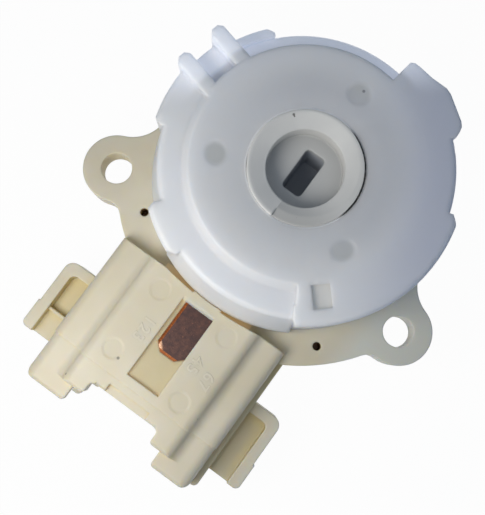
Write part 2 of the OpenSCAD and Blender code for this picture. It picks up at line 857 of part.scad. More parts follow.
module cover() {
    color("#e4e7ee")
        difference() {
            cover_body();
            rotate([0, 0, pocket_a])
                translate([pocket_r, -pocket_size[1] / 2, top_z - pocket_size[2]])
                    cube([pocket_size[0], pocket_size[1], top_z]);
            for (a = dimples)
                translate(at(dimple_at_r, a, dimple_z))
                    rotate([0, -dimple_tilt, a])
                        translate([0, 0, -dimple_depth])
                            ejector_mark(dimple_d, dimple_depth, dimple_draft);
            for (a = detent_a, s = stops)
                translate(at(ball_c + ball_travel, a - s, base_h - over))
                    cylinder(r = ball_r + bore_fit, h = zone_top - base_h + over);
            rotate([0, 0, tang_a])
                box([chamber_r - 0.5, tang_out_r + 4 * side_fit], [-wire_r - side_fit, wire_r + side_fit],
                    [zone_top - eps, coil_top_z + wire_r + side_fit]);
        }
}

// Drive slot with rounded corners
module slot_plan() {
    w = slot_w / 2 - slot_round;
    l = slot_l / 2 - slot_round;
    square([slot_w, 2 * l], center = true);
    square([2 * w, slot_l], center = true);
    for (x = [-w, w], y = [-l, l])
        translate([x, y])
            circle(slot_round);
}

module rotor() {
    color("#dcdad4")
        difference() {
            union() {
                translate([0, 0, disc_z])
                    cylinder(r = disc_r, h = disc_t);
                translate([0, 0, disc_z])
                    cylinder(r = hub_r, h = hub_z - disc_z);
                translate([0, 0, shaft_z])
                    cylinder(r = shaft_r, h = disc_z - shaft_z + over);
                translate([0, 0, journal_z])
                    cylinder(r = journal_r, h = disc_z - journal_z);
                for (a = detent_a)
                    translate(at(peg_at_r, a, disc_z - peg_h))
                        cylinder(r = peg_r, h = peg_h + over);
            }
            translate([0, 0, socket_z])
                cylinder(r = socket_r, h = socket_d + over);
            translate([0, 0, hub_z - ring_fall])
                cylinder(r1 = socket_r, r2 = hub_r - ring_rim, h = ring_fall + eps);
            translate([0, 0, slot_floor_z])
                linear_extrude(socket_z + over - slot_floor_z)
                    slot_plan();
            translate([0, hub_r, hub_z])
                rotate([atan(ring_step / (2 * hub_r)), 0, 0])
                    translate([0, -3 * hub_r, 0])
                        cube([2 * hub_r, 4 * hub_r, 2]);
            for (a = detent_a)
                rotate([0, 0, a])
                    translate([detent_floor_r, 0, ball_z])
                        rotate([0, 90, 0])
                            cylinder(r = detent_bore_r, h = disc_r);
            for (a = bridge_a)
                translate(at(tracks[1], a, disc_z - over))
                    cylinder(r = seat_r, h = seat_d + over);
            ring(coil_r - wire_r - tang_gap, coil_r + wire_r + tang_gap, disc_top - tang_slot_d,
                disc_top + over, tang_slot_a[0], tang_slot_a[1]);
        }
}

// Plan of a bridging contact along +X
module bridge_plan(grow) {
    w = bridge_w / 2 + grow;
    x0 = tracks[0] - bridge_end + bridge_w / 2;
    x1 = tracks[2] + bridge_end - bridge_w / 2;
    translate([x0, -w])
        square([x1 - x0, 2 * w]);
    for (x = [x0, x1])
        translate([x, 0])
            circle(w);
}

module contact_carrier() {
    color("#6e4a2c")
        difference() {
            translate([0, 0, carrier_z])
                cylinder(r = disc_r, h = carrier_t);
            translate([0, 0, carrier_z - over])
                cylinder(r = shaft_r + side_fit, h = carrier_t + 2 * over);
            for (a = bridge_a)
                rotate([0, 0, a])
                    translate([0, 0, carrier_z - over])
                        linear_extrude(carrier_t + 2 * over)
                            bridge_plan(side_fit);
            for (a = detent_a)
                translate(at(peg_at_r, a, disc_z - peg_h - run_gap))
                    cylinder(r = peg_r + side_fit / 2, h = peg_h + over);
        }
}

module bridge(k) {
    color("#b87333")
        rotate([0, 0, bridge_a[k]])
            difference() {
                translate([0, 0, bar_z])
                    linear_extrude(bar_t)
                        bridge_plan(0);
                for (r = tracks)
                    translate([r, 0, bar_z - over])
                        cylinder(r = rivet_r + insert_fit, h = bar_t + 2 * over);
            }
}

module tips(k) {
    color("silver")
        for (r = tracks)
            translate(at(r, bridge_a[k], deck_z + touch_gap)) {
                cylinder(r1 = tip_r * 0.6, r2 = tip_r, h = tip_h / 2);
                translate([0, 0, tip_h / 2])
                    cylinder(r = tip_r, h = tip_h / 2);
                cylinder(r = rivet_r, h = tip_h + bar_t);
            }
}

module contact_spring(k) {
    color("silver")
        translate(at(tracks[1], bridge_a[k], 0))
            coil(contact_coil_r, bar_top + spring_wire, disc_z + seat_d - spring_wire, contact_turns,
                spring_wire);
}

module detent_ball(k) {
    color("silver")
        translate(at(ball_c, detent_a[k], ball_z))
            sphere(r = ball_r);
}

module detent_spring(k) {
    back = ball_c - sqrt(pow(ball_r, 2) - pow(detent_coil_r, 2));
    color("silver")
        rotate([0, 0, detent_a[k]])
            translate([0, 0, ball_z])
                rotate([0, 90, 0])
                    coil(detent_coil_r, detent_floor_r + spring_wire, back - spring_wire * 1.5, detent_turns,
                        spring_wire);
}

module return_spring() {
    steps = 20;
    n = coil_turns * steps;
    helix = [for (i = [0:n]) at(coil_r, tang_a + 360 * i / steps, coil_z + coil_pitch * i / steps)];
    foot = [for (z = [tang_low_z, coil_z - wire_r]) at(coil_r, tang_a - 2, z)];
    arm = [for (r = [coil_r + 2 * wire_r, tang_out_r]) at(r, tang_a, coil_top_z)];
    color("gray")
        wire(concat(foot, helix, arm), wire_r, [1, 0, 0], 8);
}

module copper_terminal(k) {
    color("#b5672f")
        terminal(k);
}

terminal_base();
cover();
rotor();
contact_carrier();
bridge(0);  // bridge_a
bridge(1);  // bridge_b
tips(0);  // tips_a
tips(1);  // tips_b
contact_spring(0);  // contact_spring_a
contact_spring(1);  // contact_spring_b
detent_ball(0);  // detent_ball_a
detent_ball(1);  // detent_ball_b
detent_spring(0);  // detent_spring_a
detent_spring(1);  // detent_spring_b
return_spring();
copper_terminal(0);  // terminal_battery_1
copper_terminal(1);  // terminal_accessory
copper_terminal(2);  // terminal_ignition_1
copper_terminal(3);  // terminal_starter_1
copper_terminal(4);  // terminal_battery_2
copper_terminal(5);  // terminal_ignition_2
copper_terminal(6);  // terminal_starter_2
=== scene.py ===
# Ignition switch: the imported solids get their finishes, and raised figures and coil springs are added.
import math

import bmesh
import bpy
from mathutils import Matrix, Vector


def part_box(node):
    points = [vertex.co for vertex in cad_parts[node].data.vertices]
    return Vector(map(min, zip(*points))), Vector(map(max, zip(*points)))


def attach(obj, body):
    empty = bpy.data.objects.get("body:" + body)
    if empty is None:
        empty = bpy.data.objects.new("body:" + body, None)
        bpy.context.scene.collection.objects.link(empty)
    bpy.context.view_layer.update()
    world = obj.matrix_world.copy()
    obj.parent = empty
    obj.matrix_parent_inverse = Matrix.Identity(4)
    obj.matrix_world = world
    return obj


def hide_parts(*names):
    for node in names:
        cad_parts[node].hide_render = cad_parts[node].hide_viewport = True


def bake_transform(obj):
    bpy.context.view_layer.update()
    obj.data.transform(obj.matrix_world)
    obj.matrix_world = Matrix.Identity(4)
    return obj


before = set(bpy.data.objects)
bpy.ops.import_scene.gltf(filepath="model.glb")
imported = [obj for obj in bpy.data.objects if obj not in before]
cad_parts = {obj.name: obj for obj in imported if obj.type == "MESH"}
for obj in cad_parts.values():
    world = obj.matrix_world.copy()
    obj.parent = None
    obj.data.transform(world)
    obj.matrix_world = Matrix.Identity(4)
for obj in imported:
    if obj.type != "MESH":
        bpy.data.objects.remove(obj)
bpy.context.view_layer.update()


# Case base
# Injection moulded ivory thermoplastic in one piece: round body, ears, apron and plug housing.
# The surface is satin and lets light a little way in, so thin parts look yellower, with a few dark specks in
# the resin. Painted shade makes the hollows yellower, their depths brown and the window's recess darker;
# painted cool light tints the right ear, and a painted glow lifts the rear gap and the window's sill.
class Wire:
    """A shader socket; sums, products and comparisons of wires add Math nodes."""

    def __init__(self, tree, socket=None):
        self.tree = tree
        self.socket = socket

    def node(self, kind, settings=None, sockets=None, out=0):
        made = self.tree.nodes.new("ShaderNode" + kind)
        for key, value in (settings or {}).items():
            setattr(made, key, value)
        for key, value in (sockets or {}).items():
            self.feed(made.inputs[key], value)
        return Wire(self.tree, made.outputs[out])

    def feed(self, entry, value):
        if isinstance(value, Wire):
            self.tree.links.new(value.socket, entry)
        elif entry.type == "RGBA" and len(value) == 3:
            entry.default_value = (*value, 1.0)
        else:
            entry.default_value = value

    def maths(self, operation, first, second=0.0):
        return self.node("Math", {"operation": operation}, {0: first, 1: second})

    def __add__(self, other):
        return self.maths("ADD", self, other)

    __radd__ = __add__

    def __sub__(self, other):
        return self.maths("SUBTRACT", self, other)

    def __rsub__(self, other):
        return self.maths("SUBTRACT", other, self)

    def __mul__(self, other):
        return self.maths("MULTIPLY", self, other)

    __rmul__ = __mul__

    def __gt__(self, other):
        return self.maths("GREATER_THAN", self, other)

    def __lt__(self, other):
        return self.maths("LESS_THAN", self, other)

    def soft(self, low, high):
        return self.node("MapRange", {"interpolation_type": "SMOOTHSTEP"}, {0: self, 1: low, 2: high})

    def noise(self, size, detail=2.0, roughness=0.5):
        return self.node("TexNoise", None, {"Vector": self, "Scale": 1 / size, "Detail": detail,
                                            "Roughness": roughness})

    def mix(self, first, second):
        return self.node("Mix", {"data_type": "RGBA"}, {0: self, 6: first, 7: second}, 2)


def new_finish(name):
    """A node material with its shader, the object's own coordinates and a starting wire."""
    material = bpy.data.materials.new(name)
    material.use_nodes = True
    tree = material.node_tree
    wire = Wire(tree)
    place = wire.node("TexCoord", None, None, "Object")
    return material, tree.nodes["Principled BSDF"], wire, place


def dress(material, *names):
    for name in names:
        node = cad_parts[name]
        node.data.materials.clear()
        node.data.materials.append(material)


def axes(place):
    return [place.node("SeparateXYZ", None, {0: place}, axis) for axis in range(3)]


def within(value, span):
    return (value > span[0]) * (value < span[1])


def away_from(place, point):
    return place.node("VectorMath", {"operation": "DISTANCE"}, {0: place, 1: point}, "Value")


def openness(wire, reach):
    """How free the place is within a reach: 0 deep in a corner, 1 on an open face."""
    return wire.node("AmbientOcclusion", {"samples": 12, "only_local": True}, {"Distance": reach}, "AO")


def specks(wire, place, cell, radius, share):
    """Small round spots in a share of the cells of a random grid."""
    near = wire.node("TexVoronoi", None, {"Vector": place, "Scale": 1 / cell}, "Distance")
    tint = wire.node("TexVoronoi", None, {"Vector": place, "Scale": 1 / cell}, "Color")
    pick = wire.node("SeparateColor", None, {0: tint}, 0)
    return (pick < share) * (1 - near.soft(0.6 * radius / cell, radius / cell))


def pits(place, spots):
    """Single dark pits at given places, each with its radius, all in millimetres."""
    total = 0.0
    for x, y, z, radius in spots:
        away = away_from(place, (x * MM, y * MM, z * MM))
        total = (1 - away.soft(0.5 * radius * MM, radius * MM)) + total
    return total


def satin(shader, place, size, detail, spread, least):
    """Roughness that varies in clouds of a size, by a spread over its least value."""
    place.feed(shader.inputs["Roughness"], place.noise(size, detail) * spread + least)


def moulded_normal(place, edge, grain, depth):
    """Soft moulded edges under a fine satin grain."""
    rounded = place.node("Bevel", {"samples": 8}, {"Radius": edge})
    height = place.noise(grain, 3.0, 0.6)
    return place.node("Bump", None, {"Strength": 1.0, "Distance": depth, "Height": height, "Normal": rounded})


MM = 0.001
BLACK = (0.0, 0.0, 0.0)
IVORY = (0.672, 0.608, 0.458)
IVORY_PALE = (0.715, 0.662, 0.535)
IVORY_SHADE = (0.690, 0.585, 0.310)
IVORY_DEEP_SHADE = (0.300, 0.180, 0.070)
IVORY_EAR_LIGHT = (0.745, 0.735, 0.655)
IVORY_WINDOW_SHADE = (0.600, 0.520, 0.320)
IVORY_GLOW = (0.19, 0.125, 0.058)
IVORY_SPECK = (0.09, 0.07, 0.05)
IVORY_PIT = (0.10, 0.085, 0.06)
IVORY_PITS = ((8.72, -38.05, 17.4, 0.28), (8.9, -37.8, 17.35, 0.22), (-10.9, -44.1, 17.1, 0.25),
              (-6.05, -37.7, 18.0, 0.3))
IVORY_CLOUD = 9 * MM
IVORY_SATIN = (2.2 * MM, 3.0, 0.16, 0.36)
IVORY_EDGES = (0.35 * MM, 0.30 * MM, 0.004 * MM)
SPECK_CELL = 7 * MM
SPECK_R = 0.14 * MM
SPECK_SHARE = 0.10
HOLLOW_REACH = 5 * MM
DEEP_SHADE_TOP = 16.5 * MM
EAR_LIGHT_X = (17 * MM, 23 * MM)
WINDOW_X = (-3.62 * MM, 2.0 * MM)
WINDOW_Y = (-38.82 * MM, -25 * MM)
WINDOW_Z = (16.5 * MM, 17.4 * MM)
GAP_X = (-9 * MM, 7 * MM)
GAP_Y = (-24.6 * MM, -22 * MM)
GAP_Z = (13.4 * MM, 17.7 * MM)
SILL_LOW = 17.0 * MM
SILL_SIDE_X = (-4 * MM, -3 * MM)
SILL_END_X = (-4 * MM, 2.4 * MM)
SILL_END_Y = (-39.2 * MM, -38.2 * MM)
ivory, shader, wire, place = new_finish("ivory_moulding")
x, y, z = axes(place)
free = openness(wire, HOLLOW_REACH)
tone = place.noise(IVORY_CLOUD, 2.0).soft(0.3, 0.75).mix(IVORY, IVORY_PALE)
# Painted shade: hollows take a darker, yellower tone.
tone = (1 - free.soft(0.25, 0.85)).mix(tone, IVORY_SHADE)
# Painted shade: the deepest hollows below the housing's top go dark brown.
tone = ((1 - free.soft(0.04, 0.22)) * (z < DEEP_SHADE_TOP)).mix(tone, IVORY_DEEP_SHADE)
# Painted light: the right ear is paler and less yellow, as in cool fill light.
tone = x.soft(*EAR_LIGHT_X).mix(tone, IVORY_EAR_LIGHT)
# Painted shade: the window's recess is darker and yellower.
tone = (within(x, WINDOW_X) * within(y, WINDOW_Y) * within(z, WINDOW_Z)).mix(tone, IVORY_WINDOW_SHADE)
tone = (specks(wire, place, SPECK_CELL, SPECK_R, SPECK_SHARE) * 0.7).mix(tone, IVORY_SPECK)
tone = (pits(place, IVORY_PITS) * 0.75).mix(tone, IVORY_PIT)
wire.feed(shader.inputs["Base Color"], tone)
satin(shader, place, *IVORY_SATIN)
wire.feed(shader.inputs["Normal"], moulded_normal(place, *IVORY_EDGES))
shader.inputs["Subsurface Weight"].default_value = 0.6
shader.inputs["Subsurface Radius"].default_value = (1.0, 0.75, 0.35)
shader.inputs["Subsurface Scale"].default_value = 1.6 * MM
# Painted light: an emission lifts the shaded rear gap between housing and cover and the shaded walls of the
# window's sill.
gap = within(x, GAP_X) * within(y, GAP_Y) * within(z, GAP_Z)
sill = wire.maths("MAXIMUM", within(x, SILL_SIDE_X), within(x, SILL_END_X) * within(y, SILL_END_Y))
sill = sill * (z > SILL_LOW) * (1 - free.soft(0.35, 0.8))
wire.feed(shader.inputs["Emission Color"], wire.maths("MAXIMUM", gap, sill).mix(BLACK, IVORY_GLOW))
shader.inputs["Emission Strength"].default_value = 0.7
dress(ivory, "terminal_base")


# Moulded numbers
# Low raised figures beside the window, part of the base's moulding, that number the seven terminals.
# They stand on the raised middle of the plug housing and read along it.
def add_piece(name, shape, mesh, material):
    """Puts a finished shape into its mesh and adds it to the scene with its material."""
    shape.to_mesh(mesh)
    shape.free()
    mesh.materials.clear()
    mesh.materials.append(material)
    piece = bpy.data.objects.new(name, mesh)
    bpy.context.scene.collection.objects.link(piece)
    return piece


MERGE = 0.001 * MM
FIGURE_SIZE = 2.45 * MM
FIGURE_RISE = 0.01 * MM
FIGURE_EDGE = 0.05 * MM
FIGURE_TURN = Matrix.Rotation(math.radians(-90), 3, "Z")
FIGURE_CLOUD = 3 * MM
FIGURE_SATIN = (1.2 * MM, 2.0, 0.16, 0.45)
PLATEAU_Z = 18 * MM
FIGURES = {"numbers_left": ("123", -5.6, -32.0), "numbers_right_a": ("45", 3.6, -31.9),
           "numbers_right_b": ("67", 6.3, -32.9)}
figure_ivory, shader, wire, place = new_finish("ivory_figures")
wire.feed(shader.inputs["Base Color"], place.noise(FIGURE_CLOUD, 2.0).mix(IVORY, IVORY_PALE))
satin(shader, place, *FIGURE_SATIN)
for name, (figures, across, along) in FIGURES.items():
    curve = bpy.data.curves.new(name, "FONT")
    curve.body = figures
    curve.size = FIGURE_SIZE
    curve.space_character = 1.15
    curve.align_x = "CENTER"
    curve.align_y = "CENTER"
    curve.extrude = FIGURE_RISE
    curve.bevel_depth = FIGURE_EDGE
    curve.bevel_resolution = 2
    curve.resolution_u = 4
    writing = bpy.data.objects.new(name, curve)
    bpy.context.scene.collection.objects.link(writing)
    mesh = bpy.data.meshes.new_from_object(writing)
    bpy.data.objects.remove(writing)
    shape = bmesh.new()
    shape.from_mesh(mesh)
    bmesh.ops.remove_doubles(shape, verts=shape.verts, dist=MERGE)
    bmesh.ops.rotate(shape, verts=shape.verts, cent=(0, 0, 0), matrix=FIGURE_TURN)
    bmesh.ops.translate(shape, verts=shape.verts, vec=(across * MM, along * MM, PLATEAU_Z))
    bmesh.ops.recalc_face_normals(shape, faces=shape.faces)
    piece = add_piece(name, shape, mesh, figure_ivory)
    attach(piece, "case")


# Terminals
# Stamped from copper strip, moulded into the base, with a land, a strip and a blade each.
# The flat rolled faces have gone dark brown; the sheared edges are still bright orange and rough.
COPPER_DARK = (0.042, 0.021, 0.020)
COPPER_WARM = (0.090, 0.040, 0.030)
COPPER_SHEAR = (0.33, 0.105, 0.045)
COPPER_BRIGHT = (0.640, 0.250, 0.100)
COPPER_WORN = (0.42, 0.19, 0.085)
COPPER_BARE = (0.90, 0.62, 0.44)
COPPER_SATIN = (0.4 * MM, 3.0, 0.2, 0.38)
PATINA_CLOUD = 0.7 * MM
FLECK = 0.16 * MM
TEAR = 0.22 * MM
TEAR_WIDTH = 0.5 * MM
SHEAR_GRAIN = 0.2 * MM
BARE_GRAIN = 0.12 * MM
GRIT = 0.18 * MM
GRIT_DEPTH = 0.03 * MM
WORN_SIDE = (-2.72 * MM, -2.46 * MM)
WORN_CORNER = (-34.75 * MM, -34.2 * MM)
WORN_LOW = 16 * MM
WORN_END = -23 * MM
TERMINALS = ("battery_1", "accessory", "ignition_1", "starter_1", "battery_2", "ignition_2", "starter_2")
copper, shader, wire, place = new_finish("aged_copper")
x, y, z = axes(place)
upward = wire.node("SeparateXYZ", None, {0: wire.node("NewGeometry", None, None, "True Normal")}, 2)
flat = wire.maths("ABSOLUTE", upward).soft(0.75, 0.95)
patina = place.noise(PATINA_CLOUD, 4.0, 0.7).soft(0.35, 0.75).mix(COPPER_DARK, COPPER_WARM)
patina = (place.noise(FLECK, 2.0).soft(0.70, 0.76) * 0.4).mix(patina, COPPER_BRIGHT)
torn = place.noise(TEAR, 3.0, 0.7) * TEAR_WIDTH - TEAR_WIDTH / 2
worn_side = 1 - (x + torn * 0.4).soft(*WORN_SIDE)
worn_corner = 1 - (x + y + torn).soft(*WORN_CORNER)
worn = wire.maths("MAXIMUM", worn_side, worn_corner) * (z > WORN_LOW) * (y < WORN_END)
bare = place.noise(BARE_GRAIN, 2.0, 0.8).soft(0.35, 0.75).mix(COPPER_WORN, COPPER_BARE)
shear = place.noise(SHEAR_GRAIN, 3.0, 0.7).soft(0.35, 0.7).mix(COPPER_SHEAR, COPPER_BRIGHT)
wire.feed(shader.inputs["Base Color"], flat.mix(shear, worn.mix(patina, bare)))
wire.feed(shader.inputs["Metallic"], 1 - flat * 0.45)
satin(shader, place, *COPPER_SATIN)
grit = {"Strength": 1.0, "Distance": GRIT_DEPTH, "Height": place.noise(GRIT, 3.0, 0.7)}
wire.feed(shader.inputs["Normal"], wire.node("Bump", None, grit))
dress(copper, *["terminal_" + name for name in TERMINALS])


# Bridging contacts
# Bright copper bars with silver rivets, which lie on the terminals' lands and join them.
# Springs press them down, and the carrier takes them round.
def bare_metal(name, dull, bright, cloud, detail, polish):
    """A metal whose tone and polish vary a little from place to place."""
    material, shader, wire, place = new_finish(name)
    wire.feed(shader.inputs["Base Color"], place.noise(cloud, detail).mix(dull, bright))
    satin(shader, place, *polish)
    shader.inputs["Metallic"].default_value = 1.0
    return material


BRIDGE_DULL = (0.50, 0.22, 0.10)
BRIDGE_BRIGHT = (0.68, 0.33, 0.16)
BRIDGE_CLOUD = 0.8 * MM
BRIDGE_SATIN = (0.3 * MM, 2.0, 0.2, 0.25)
SILVER_DULL = (0.62, 0.61, 0.58)
SILVER_BRIGHT = (0.86, 0.86, 0.84)
SILVER_CLOUD = 0.4 * MM
SILVER_SATIN = (0.2 * MM, 2.0, 0.2, 0.22)
bars = bare_metal("bridge_copper", BRIDGE_DULL, BRIDGE_BRIGHT, BRIDGE_CLOUD, 3.0, BRIDGE_SATIN)
dress(bars, "bridge_a", "bridge_b")
silver = bare_metal("rivet_silver", SILVER_DULL, SILVER_BRIGHT, SILVER_CLOUD, 3.0, SILVER_SATIN)
dress(silver, "tips_a", "tips_b")


# Contact carrier
# Disc of brown insulating resin under the rotor; it carries the bridges round with the key.
# Pegs under the rotor's disc stand in its holes and drive it.
RESIN_DARK = (0.10, 0.045, 0.02)
RESIN_LIGHT = (0.21, 0.11, 0.055)
RESIN_CLOUD = 1.5 * MM
RESIN_SATIN = (0.6 * MM, 2.0, 0.2, 0.4)
RESIN_EDGES = (0.15 * MM, 0.3 * MM, 0.006 * MM)
resin, shader, wire, place = new_finish("brown_resin")
wire.feed(shader.inputs["Base Color"], place.noise(RESIN_CLOUD, 4.0).mix(RESIN_DARK, RESIN_LIGHT))
satin(shader, place, *RESIN_SATIN)
wire.feed(shader.inputs["Normal"], moulded_normal(place, *RESIN_EDGES))
dress(resin, "contact_carrier")


# Detent balls
# Ground and polished bearing balls, pressed outwards from the rotor into the cover's track.
# They lie loose in bores of the rotor, each in front of a coil spring.
BALL_DULL = (0.70, 0.70, 0.71)
BALL_BRIGHT = (0.80, 0.80, 0.81)
BALL_CLOUD = 0.5 * MM
BALL_SATIN = (0.2 * MM, 2.0, 0.08, 0.08)
ball = bare_metal("ground_ball", BALL_DULL, BALL_BRIGHT, BALL_CLOUD, 2.0, BALL_SATIN)
dress(ball, "detent_ball_a", "detent_ball_b")


# Springs
# Round drawn steel wire: two coils press the bridges down, two push the balls out, one turns the key back.
def ring_edges(parts):
    return [part for part in parts if isinstance(part, bmesh.types.BMEdge)]


def wind(radius, thick, low, high, turn):
    """Round wire wound upwards about the Z axis, with the edges of its two open ends."""
    shape = bmesh.new()
    upright = Matrix.Rotation(QUARTER, 3, "X")
    bmesh.ops.create_circle(shape, segments=WIRE_SIDES, radius=thick)
    bmesh.ops.rotate(shape, verts=shape.verts, cent=(0, 0, 0), matrix=upright)
    bmesh.ops.translate(shape, verts=shape.verts, vec=(radius, 0, low))
    first = shape.edges[:]
    steps = round(TURN_STEPS * turn / math.tau)
    rise = (0, 0, (high - low) / steps)
    wound = bmesh.ops.spin(shape, geom=first, cent=(0, 0, 0), axis=(0, 0, 1), dvec=rise, angle=turn,
                           steps=steps)
    return shape, first, ring_edges(wound["geom_last"])


def bend_end(shape, ring, centre, axis, angle, reach):
    """Bends an open end of the wire about an axis, then lengthens it in a straight line."""
    bent = bmesh.ops.spin(shape, geom=ring, cent=centre, axis=axis, dvec=(0, 0, 0), angle=angle,
                          steps=BEND_STEPS)
    grown = bmesh.ops.extrude_edge_only(shape, edges=ring_edges(bent["geom_last"]))["geom"]
    corners = [part for part in grown if isinstance(part, bmesh.types.BMVert)]
    bmesh.ops.translate(shape, verts=corners, vec=reach)


def spring(shape, name, node, where):
    """The closed coil at its place, shown instead of its plain solid."""
    bmesh.ops.holes_fill(shape, edges=[edge for edge in shape.edges if edge.is_boundary], sides=WIRE_SIDES)
    bmesh.ops.transform(shape, matrix=where, verts=shape.verts)
    bmesh.ops.remove_doubles(shape, verts=shape.verts, dist=MERGE)
    bmesh.ops.recalc_face_normals(shape, faces=shape.faces)
    for face in shape.faces:
        face.smooth = len(face.verts) == 4
    piece = add_piece(name, shape, bpy.data.meshes.new(name), drawn)
    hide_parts(node)
    return piece


QUARTER = math.radians(90)
WIRE_SIDES = 10
TURN_STEPS = 32
BEND_STEPS = 6
FINE_WIRE = 0.2 * MM
CONTACT_COIL_R = 1.45 * MM
CONTACT_TURN = 4 * math.tau
DETENT_COIL_R = 1.05 * MM
DETENT_TURN = 6 * math.tau
DETENT_FLOOR = 10 * MM
DETENT_TO = {"a": math.radians(70), "b": math.radians(250)}
RETURN_WIRE = 0.555 * MM
RETURN_COIL_R = 11.6 * MM
RETURN_TURN = 2 * math.tau
RETURN_TO = math.radians(105)
RETURN_LOW = 19.305 * MM
RETURN_BEND = 0.6 * MM
RETURN_ARM = 16.2 * MM
STEEL_DULL = (0.33, 0.33, 0.34)
STEEL_BRIGHT = (0.55, 0.55, 0.56)
STEEL_CLOUD = 0.5 * MM
STEEL_SATIN = (0.25 * MM, 2.0, 0.2, 0.28)
drawn = bare_metal("drawn_wire", STEEL_DULL, STEEL_BRIGHT, STEEL_CLOUD, 2.0, STEEL_SATIN)
for side in ("a", "b"):
    lowest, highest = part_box("contact_spring_" + side)
    middle = (lowest + highest) / 2
    low = lowest.z + FINE_WIRE
    high = highest.z - FINE_WIRE
    shape = wind(CONTACT_COIL_R, FINE_WIRE, low, high, CONTACT_TURN)[0]
    piece = spring(shape, "contact_coil_" + side, "contact_spring_" + side,
                   Matrix.Translation((middle.x, middle.y, 0)))
    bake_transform(piece)

    lowest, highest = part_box("detent_ball_" + side)
    middle = (lowest + highest) / 2
    ball_r = (highest.z - lowest.z) / 2
    low = DETENT_FLOOR + FINE_WIRE
    high = middle.xy.length - math.sqrt(ball_r ** 2 - DETENT_COIL_R ** 2) - 1.5 * FINE_WIRE
    shape = wind(DETENT_COIL_R, FINE_WIRE, low, high, DETENT_TURN)[0]
    lie = (Matrix.Translation((0, 0, middle.z)) @ Matrix.Rotation(DETENT_TO[side], 4, "Z")
           @ Matrix.Rotation(QUARTER, 4, "Y"))
    piece = spring(shape, "detent_coil_" + side, "detent_spring_" + side, lie)
    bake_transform(piece)

lowest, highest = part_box("return_spring")
high = highest.z - RETURN_WIRE
foot = RETURN_LOW - RETURN_BEND
lean = RETURN_BEND / RETURN_COIL_R
shape, first, last = wind(RETURN_COIL_R, RETURN_WIRE, RETURN_LOW, high, RETURN_TURN - lean)
bend_end(shape, first, (RETURN_COIL_R, 0, foot), (1, 0, 0), QUARTER, (0, 0, lowest.z - foot))
pivot = Matrix.Rotation(-lean, 3, "Z") @ Vector((RETURN_COIL_R + RETURN_BEND, 0, high))
bend_end(shape, last, pivot, (0, 0, 1), lean - QUARTER, (RETURN_ARM - pivot.x, 0, 0))
piece = spring(shape, "return_coil", "return_spring", Matrix.Rotation(RETURN_TO, 4, "Z"))
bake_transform(piece)


# Rotor
# Moulded hub of grey-white plastic that turns in the cover's bore, with a round key socket and a drive slot.
# A few dark specks lie on the ring. Painted shade greys its hollows, the ring's +x side, the slot's depth and
# the socket floor, and makes the bore's gap near black towards the lug; painted light makes the gap's other
# side glow.
def reach_to(place, direction):
    return place.node("VectorMath", {"operation": "DOT_PRODUCT"}, {0: place, 1: direction}, "Value")


def hub_gap(place, low, high):
    """Painted shade between two radii on the side that faces the lug, the way from the axis, and the other
    side, where the gap gets painted light.
    """
    level = place.node("VectorMath", {"operation": "MULTIPLY"}, {0: place, 1: (1, 1, 0)})
    away = level.node("VectorMath", {"operation": "LENGTH"}, {0: level}, "Value")
    ragged = away + (place.noise(RAGGED, 3.0, 0.7) * RAGGED_WIDTH - RAGGED_WIDTH / 2)
    band = ragged.soft(low, low + GAP_SHADE_EDGE) * (1 - ragged.soft(high - GAP_SHADE_EDGE, high))
    toward = reach_to(level, GAP_SHADE_TO).soft(0.62 * HUB_R, 0.80 * HUB_R)
    return band * toward, away, 1 - toward


HUB = (0.755, 0.743, 0.715)
HUB_PALE = (0.805, 0.793, 0.760)
HUB_SHADE = (0.300, 0.305, 0.310)
HUB_LOW_SHADE = (0.400, 0.398, 0.385)
HUB_SLOT_SHADE = (0.400, 0.450, 0.560)
HUB_SOCKET_SHADE = (0.430, 0.440, 0.445)
HUB_PIT = (0.06, 0.055, 0.05)
HUB_GAP_GLOW = (0.09, 0.092, 0.094)
HUB_PITS = ((-5.88, 5.23, 24.5, 0.26), (-5.63, 5.08, 24.5, 0.16), (3.1, -6.6, 24.4, 0.14))
HUB_CLOUD = 5 * MM
HUB_SATIN = (1.5 * MM, 3.0, 0.15, 0.42)
HUB_EDGES = (0.5 * MM, 0.25 * MM, 0.005 * MM)
HUB_REACH = 4 * MM
HUB_R = 8.45 * MM
RIM_R = HUB_R - 0.03 * MM
RING_LEVEL = -1 * MM
RING_LOW = 22.5 * MM
RING_IN_R = 6.0 * MM
RING_FALL = 0.13
SOCKET_FLOOR = 20.5 * MM
SOCKET_SHADE_EDGE = (5.4 * MM, 5.7 * MM)
SOCKET_SHADE_FADE = (SOCKET_FLOOR + 0.2 * MM, SOCKET_FLOOR + 3 * MM)
SLOT_R = 5 * MM
SLOT_FADE = 2.0 * MM
GAP_SHADE = (0.028, 0.027, 0.026)
GAP_SHADE_EDGE = 0.03 * MM
GAP_SHADE_TO = (math.cos(math.radians(28)), math.sin(math.radians(28)), 0)
RAGGED = 0.35 * MM
RAGGED_WIDTH = 0.22 * MM
hub, shader, wire, place = new_finish("hub_moulding")
x, y, z = axes(place)
gap_shade, away, gap_lit = hub_gap(place, HUB_R - 0.12 * MM, HUB_R + 0.3 * MM)
tone = place.noise(HUB_CLOUD, 3.0).soft(0.3, 0.8).mix(HUB, HUB_PALE)
# Painted shade: hollows go grey.
tone = (1 - openness(wire, HUB_REACH).soft(0.1, 0.9)).mix(tone, HUB_SHADE)
# Painted shade: the ring is darker on its +x side, most of all towards -y, below the step.
lower_shade = (1 - y.soft(-HUB_R, RING_LEVEL)) * 0.7 * (x > 0) + x.soft(0, HUB_R) * 0.2
tone = (lower_shade * (z > RING_LOW)).mix(tone, HUB_LOW_SHADE)
